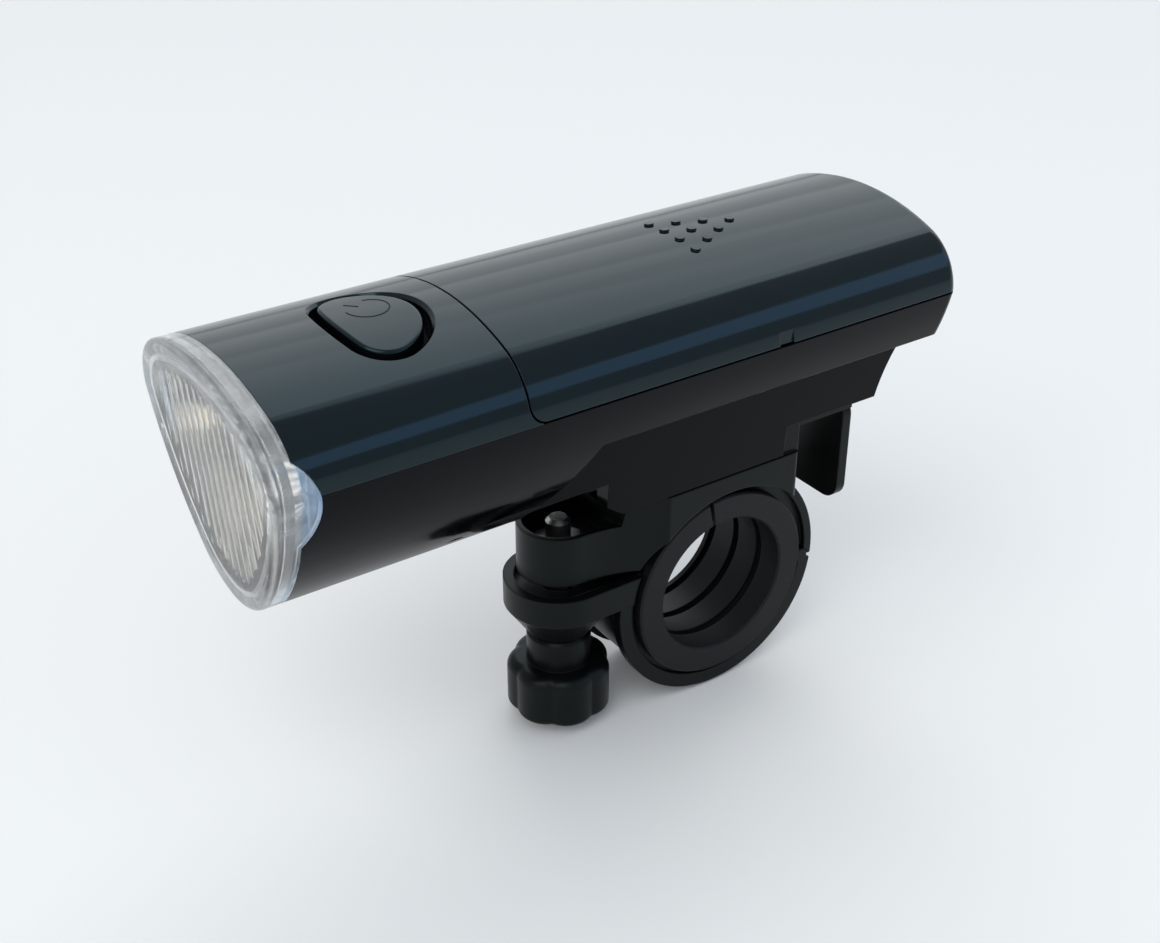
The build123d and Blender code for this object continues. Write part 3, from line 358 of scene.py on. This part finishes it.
def plastic(name, dark, pale, rough, grain_scale, grain_depth, wave_depth=0.0, edge=0.2 * MM,
            specular=0.5, tint=WHITE):
    """Moulded plastic with soft edges, fine grain, faint waves and uneven gloss, its reflections coloured by
    a tint: a bluish tint is painted reflection of blue sky.
    """
    shader = Shader(name)
    # Bluish tints of the reflections are painted reflection of blue sky
    shader.set(shader.bsdf, Specular_IOR_Level=specular, Specular_Tint=(*tint, 1))
    clouds = shader.noise(CLOUD_SCALE, detail=4)
    tone = shader.tint(shader.ramp(clouds, NARROW, (0, 1)), dark, pale)
    shader.link(tone, "Result", shader.bsdf, "Base Color")
    shader.link(shader.ramp(clouds, BROAD, rough), 0, shader.bsdf, "Roughness")
    grain = shader.noise(grain_scale, detail=3)
    relief = shader.bump(grain, grain_depth, below=shader.rounded(edge))
    if wave_depth:
        relief = shader.bump(shader.noise(WAVE_SCALE, detail=1), wave_depth, below=relief)
    shader.link(relief, 0, shader.bsdf, "Normal")
    return shader.material


def metal(name, dark, pale, rough, stretch=(1, 1, 1)):
    """Metal with fine streaks and uneven gloss."""
    shader = Shader(name)
    shader.set(shader.bsdf, Metallic=1.0)
    streaks = shader.noise(STREAK_SCALE, detail=3, stretch=stretch)
    tone = shader.tint(shader.ramp(streaks, NARROW, (0, 1)), dark, pale)
    shader.link(tone, "Result", shader.bsdf, "Base Color")
    dull = shader.ramp(shader.noise(DULL_SCALE, detail=3), BROAD, rough)
    shader.link(dull, 0, shader.bsdf, "Roughness")
    shader.link(shader.bump(streaks, STREAK_DEPTH), 0, shader.bsdf, "Normal")
    return shader.material


def clear_plastic(name):
    """Clear moulding, clear in the window; painted light in the rim for its inner reflections, and a painted
    bluish reflection in the side windows.
    """
    shader = Shader(name)
    shader.set(shader.bsdf, IOR=LENS_IOR)

    shrink = shader.add("Mapping", vector_type="TEXTURE")
    shader.set(shrink, Location=LENS_WINDOW_PLACE, Scale=LENS_WINDOW_HALVES)
    shader.link(shader.place, "Object", shrink, "Vector")
    length = shader.add("VectorMath", operation="LENGTH")
    shader.link(shrink, 0, length, 0)
    rim = shader.ramp(length, LENS_WINDOW_EDGE, (0, 1), out="Value")
    axes = shader.add("SeparateXYZ")
    shader.link(shader.place, "Object", axes, 0)
    # Side windows behind the rim's plane get a bluish colour: painted reflection
    side = shader.ramp(axes, (LENS_REAR, LENS_REAR - LENS_REAR_BLEND), (0, 1))

    tone = shader.tint(rim, LENS_WINDOW_COLOUR, LENS_RIM_COLOUR)
    colour = shader.add("Mix", data_type="RGBA")
    shader.set(colour, B=(*LENS_SIDE_PAINTED_REFLECTION, 1))
    shader.link(side, 0, colour, "Factor")
    shader.link(tone, "Result", colour, "A")
    shader.link(colour, "Result", shader.bsdf, "Base Color")

    # Diffuse share in the rim, in patches: painted light for the lens's inner reflections
    patches = shader.noise(LENS_PAINTED_LIGHT_SCALE, detail=2, stretch=LENS_PAINTED_LIGHT_STRETCH)
    rim_painted_light = shader.combine("MULTIPLY", rim, shader.ramp(patches, NARROW, LENS_RIM_PAINTED_LIGHT))
    shader.link(shader.combine("SUBTRACT", 1.0, rim_painted_light), 0, shader.bsdf, "Transmission Weight")
    dull = shader.ramp(shader.noise(LENS_DULL_SCALE, detail=3), BROAD, LENS_ROUGH)
    shader.link(dull, 0, shader.bsdf, "Roughness")
    ripple = shader.noise(LENS_RIPPLE_SCALE, detail=2)
    relief = shader.bump(ripple, LENS_RIPPLE_DEPTH, below=shader.rounded(LENS_EDGE))
    shader.link(relief, 0, shader.bsdf, "Normal")
    return shader.material


MATERIALS = {name: plastic(name, **look) for name, look in PLASTICS.items()}
MATERIALS.update({name: metal(name, **look) for name, look in METALS.items()})
MATERIALS["clear_lens"] = clear_plastic("clear_lens")


def dress_nodes():
    """Give every CAD node the finished material of its slot, and the belly a black whose dimmed reflections
    paint shade on it.
    """
    looks = {part["node"]: part["material_slot"] for part in frame["record"]["subparts"]}
    looks["lower_housing"] = "belly_black_painted_shade"
    for name, piece in NODES.items():
        for slot in piece.material_slots:
            slot.material = MATERIALS[looks[name]]


def add_piece(name, verts, faces, look):
    """New piece of one material, with its mesh."""
    mesh = bpy.data.meshes.new(name)
    mesh.from_pydata(verts, [], faces)
    mesh.materials.append(MATERIALS[look])
    piece = bpy.data.objects.new(name, mesh)
    bpy.context.scene.collection.objects.link(piece)
    return piece


def band(first, second, count):
    """Faces between two closed rings of points, each given by the index of its first point."""
    return [
        (first + k, first + (k + 1) % count, second + (k + 1) % count, second + k) for k in range(count)
    ]


def even_points(corners, count):
    """Points evenly spaced round a closed outline."""
    sides = list(zip(corners, corners[1:] + corners[:1]))
    lengths = [(end - start).length for start, end in sides]
    step = sum(lengths) / count
    points = []
    walked = 0.0
    for (start, end), length in zip(sides, lengths):
        while len(points) * step < walked + length - LENGTH_SLACK:
            points.append(start.lerp(end, (len(points) * step - walked) / length))
        walked += length
    return points


def inward_normals(points):
    """Direction into a closed outline at each of its points, taken from the outline smoothed."""
    count = len(points)
    reach = range(-SMOOTH_REACH, SMOOTH_REACH + 1)
    smooth = [
        sum((points[(i + k) % count] for k in reach), Vector((0, 0))) / len(reach) for i in range(count)
    ]
    centre = sum(smooth, Vector((0, 0))) / count
    normals = []
    for i, point in enumerate(smooth):
        ahead = smooth[(i + 1) % count] - smooth[i - 1]
        inward = Vector((-ahead.y, ahead.x)).normalized()
        normals.append(inward if inward.dot(centre - point) > 0 else -inward)
    return normals


def lens_outline():
    """Points (y, z) round the lens as seen along the beam, evenly spaced."""
    flat = [Vector((v.co.y, v.co.z)) for v in NODES["lens"].data.vertices]
    return even_points([flat[index] for index in convex_hull_2d(flat)], SHADE_STEPS)


def shade_x(z):
    """Place along the beam of the shade ring's front at a height."""
    return SHADE_X + (z - SHADE_LEVEL) * SHADE_TILT


def add_lens_piece(name, verts, faces):
    """Dark piece set in the lens, in the material of its painted shade ring."""
    piece = add_piece(name, verts, faces, "lens_pips_and_painted_shade")
    piece.data.shade_smooth()
    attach(piece, "lamp")


def build_painted_shade_ring(points, normals):
    """Thin scalloped dark ring round the flutes, painted shade for the shaded line at their edge."""
    verts = []
    faces = []
    corners = 4
    count = len(points)
    for number, (point, inward) in enumerate(zip(points, normals)):
        wave = abs(math.sin(math.pi * (point.x + inward.x * SHADE_INSET) / SCALLOP_PITCH))
        outer = point + inward * SHADE_INSET
        inner = outer + inward * (SHADE_WIDTH + SCALLOP * wave * abs(inward.y))
        for place, back in ((outer, 0), (inner, 0), (inner, 1), (outer, 1)):
            verts.append((shade_x(place.y) - back * SHADE_THICK, place.x, place.y))
        faces += band(corners * number, corners * ((number + 1) % count), corners)
    add_lens_piece("lens_painted_shade_ring", verts, faces)


def build_pips(points, normals):
    """Row of pips, each larger than the last, round the upper corner of the lens beside the ring."""
    count = len(points)
    around = sum((points[i] - points[i - 1]).length for i in range(count))
    spacing = round(PIP_SPACING * count / around)
    top = max(range(count), key=lambda i: points[i].y + points[i].x)
    verts = []
    faces = []
    for number in range(PIP_COUNT):
        index = (top + (number - PIP_COUNT // 2) * spacing) % count
        inward = normals[index]
        along = Vector((inward.y, -inward.x))
        place = points[index] + inward * PIP_INSET
        size = PIP_SIZE * (PIP_FIRST + PIP_GROWTH * number)
        start = len(verts)
        for share, rise in PIP_RINGS:
            if len(verts) > start:
                faces += band(len(verts) - PIP_SIDES, len(verts), PIP_SIDES)
            for k in range(PIP_SIDES):
                angle = math.tau * k / PIP_SIDES
                spot = place + along * size * share * math.cos(angle)
                spot += inward * PIP_FLATTEN * size * share * math.sin(angle)
                verts.append((shade_x(spot.y) + rise * SHADE_THICK, spot.x, spot.y))
        faces.append(tuple(range(len(verts) - PIP_SIDES, len(verts))))
        faces.append(tuple(range(start + PIP_SIDES - 1, start - 1, -1)))
    add_lens_piece("lens_pips", verts, faces)


def build_lens_trim():
    """Painted shade ring and pips, both set in from the outline of the lens."""
    points = lens_outline()
    normals = inward_normals(points)
    build_painted_shade_ring(points, normals)
    build_pips(points, normals)


def raised_line(name, points, target):
    """Low raised line that follows the top of a piece."""
    verts = []
    faces = []
    corners = len(LINE_PROFILE)
    last = len(points) - 1
    for number, point in enumerate(points):
        ahead = points[min(number + 1, last)] - points[max(number - 1, 0)]
        side = Vector((-ahead.y, ahead.x)).normalized() * LINE_WIDTH / 2
        for share, rise in LINE_PROFILE:
            place = point + side * share
            _, spot, _, _ = target.ray_cast(Vector((place.x, place.y, RAY_START)), DOWN)
            verts.append((place.x, place.y, spot.z + rise * LINE_HEIGHT))
        if number:
            faces += band(corners * (number - 1), corners * number, corners)
    faces.append(tuple(range(corners - 1, -1, -1)))
    faces.append(tuple(range(corners * last, corners * last + corners)))
    line = add_piece(name, verts, faces, "symbol_line")
    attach(line, "button")


def build_symbol():
    """Plain power symbol on the button."""
    centre = Vector(SYMBOL_CENTRE)

    def polar(radius, angle):
        return centre + radius * Vector((math.cos(angle), math.sin(angle)))

    first = SYMBOL_TURN + SYMBOL_GAP
    sweep = 2 * (math.pi - SYMBOL_GAP)
    ring = [polar(SYMBOL_RADIUS, first + sweep * step / RING_STEPS) for step in range(RING_STEPS + 1)]
    inner, outer = SYMBOL_BAR
    bar = [polar(inner + (outer - inner) * step / BAR_STEPS, SYMBOL_TURN) for step in range(BAR_STEPS + 1)]
    raised_line("symbol_ring", ring, NODES["power_button"])
    raised_line("symbol_bar", bar, NODES["power_button"])


def seal_side(radius, sign, foot, top):
    """Side of the seal's section as points (radius, z) from foot to top; sign points into its rubber."""
    corner = SEAL_ROUND * SEAL_CORNER
    return [
        (radius + sign * SEAL_ROUND, foot),
        (radius + sign * corner, foot + corner),
        (radius, foot + SEAL_ROUND),
        (radius + sign * SEAL_GROOVE, (foot + top) / 2),
        (radius, top - SEAL_ROUND),
        (radius + sign * corner, top - corner),
        (radius + sign * SEAL_ROUND, top),
    ]


def build_seal():
    """Rubber ring under the button, with grooved sides."""
    low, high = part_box("button_seal")
    axis_x, axis_y = (low.x + high.x) / 2, (low.y + high.y) / 2
    outer = (high.x - low.x) / 2
    inner = min(
        math.hypot(v.co.x - axis_x, v.co.y - axis_y) for v in NODES["button_seal"].data.vertices
    )
    profile = seal_side(inner, 1, low.z, high.z) + seal_side(outer, -1, low.z, high.z)[::-1]
    corners = len(profile)
    verts = []
    faces = []
    for turn in range(SEAL_STEPS):
        angle = math.tau * turn / SEAL_STEPS
        for radius, z in profile:
            verts.append((axis_x + radius * math.cos(angle), axis_y + radius * math.sin(angle), z))
        faces += band(corners * turn, corners * ((turn + 1) % SEAL_STEPS), corners)
    seal = add_piece("soft_seal", verts, faces, "rubber")
    seal.data.shade_smooth()
    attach(seal, "lamp")
    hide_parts("button_seal")
    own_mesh(seal)


def build_floor():
    """Pale paper disc under the part."""
    bpy.ops.mesh.primitive_circle_add(vertices=FLOOR_CORNERS, radius=FLOOR_RADIUS, fill_type="NGON")
    floor = bpy.context.object
    floor.name = "floor"
    floor.location.z = cad_low.z - FLOOR_GAP
    shader = Shader("floor_paper")
    shader.set(
        shader.bsdf, Roughness=FLOOR_ROUGHNESS, Base_Color=(*FLOOR_COLOUR, 1), Specular_IOR_Level=0.0
    )
    grain = shader.noise(FLOOR_GRAIN_SCALE, detail=3)
    shader.link(shader.bump(grain, FLOOR_GRAIN_DEPTH), 0, shader.bsdf, "Normal")
    floor.data.materials.append(shader.material)


def area_lamp(name, place, towards, size, radiance, colour=WHITE):
    """Rectangular light of a radiance, which shines in a direction."""
    data = bpy.data.lights.new(name, "AREA")
    data.shape = "RECTANGLE"
    data.size, data.size_y = size
    data.energy = radiance * math.pi * size[0] * size[1]
    data.color = colour
    lamp = bpy.data.objects.new(name, data)
    lamp.location = place
    lamp.rotation_euler = towards.to_track_quat("-Z", "Y").to_euler()
    bpy.context.scene.collection.objects.link(lamp)


def build_light():
    """Pale room with a broad soft window behind the part, a fill before it and a sky at its side."""
    world = bpy.data.worlds.new("studio")
    bpy.context.scene.world = world
    world.use_nodes = True
    background = world.node_tree.nodes["Background"]
    background.inputs["Color"].default_value = (*WORLD_COLOUR, 1)
    background.inputs["Strength"].default_value = WORLD_LEVEL

    away = Vector(WINDOW_AWAY).normalized()
    along = Vector((away.y, -away.x, 0)).normalized()
    for number, (foot, top, radiance) in enumerate(WINDOW_SHEETS):
        place = away * (WINDOW_DISTANCE + number * WINDOW_STEP) + along * WINDOW_SHIFT
        place.z = (top + foot) / 2
        area_lamp(f"window_{number}", place, -away, (WINDOW_WIDTH, top - foot), radiance)
    place = Vector(FILL_PLACE)
    area_lamp("front_fill", place, -place, FILL_SIZE, FILL_RADIANCE)
    place = Vector(SKY_PLACE)
    area_lamp("side_sky", place, -place, SKY_SIZE, SKY_RADIANCE, SKY_COLOUR)


build_camera()
dress_nodes()
build_symbol()
build_lens_trim()
build_seal()
build_floor()
build_light()
bpy.context.scene.view_settings.view_transform = "Standard"
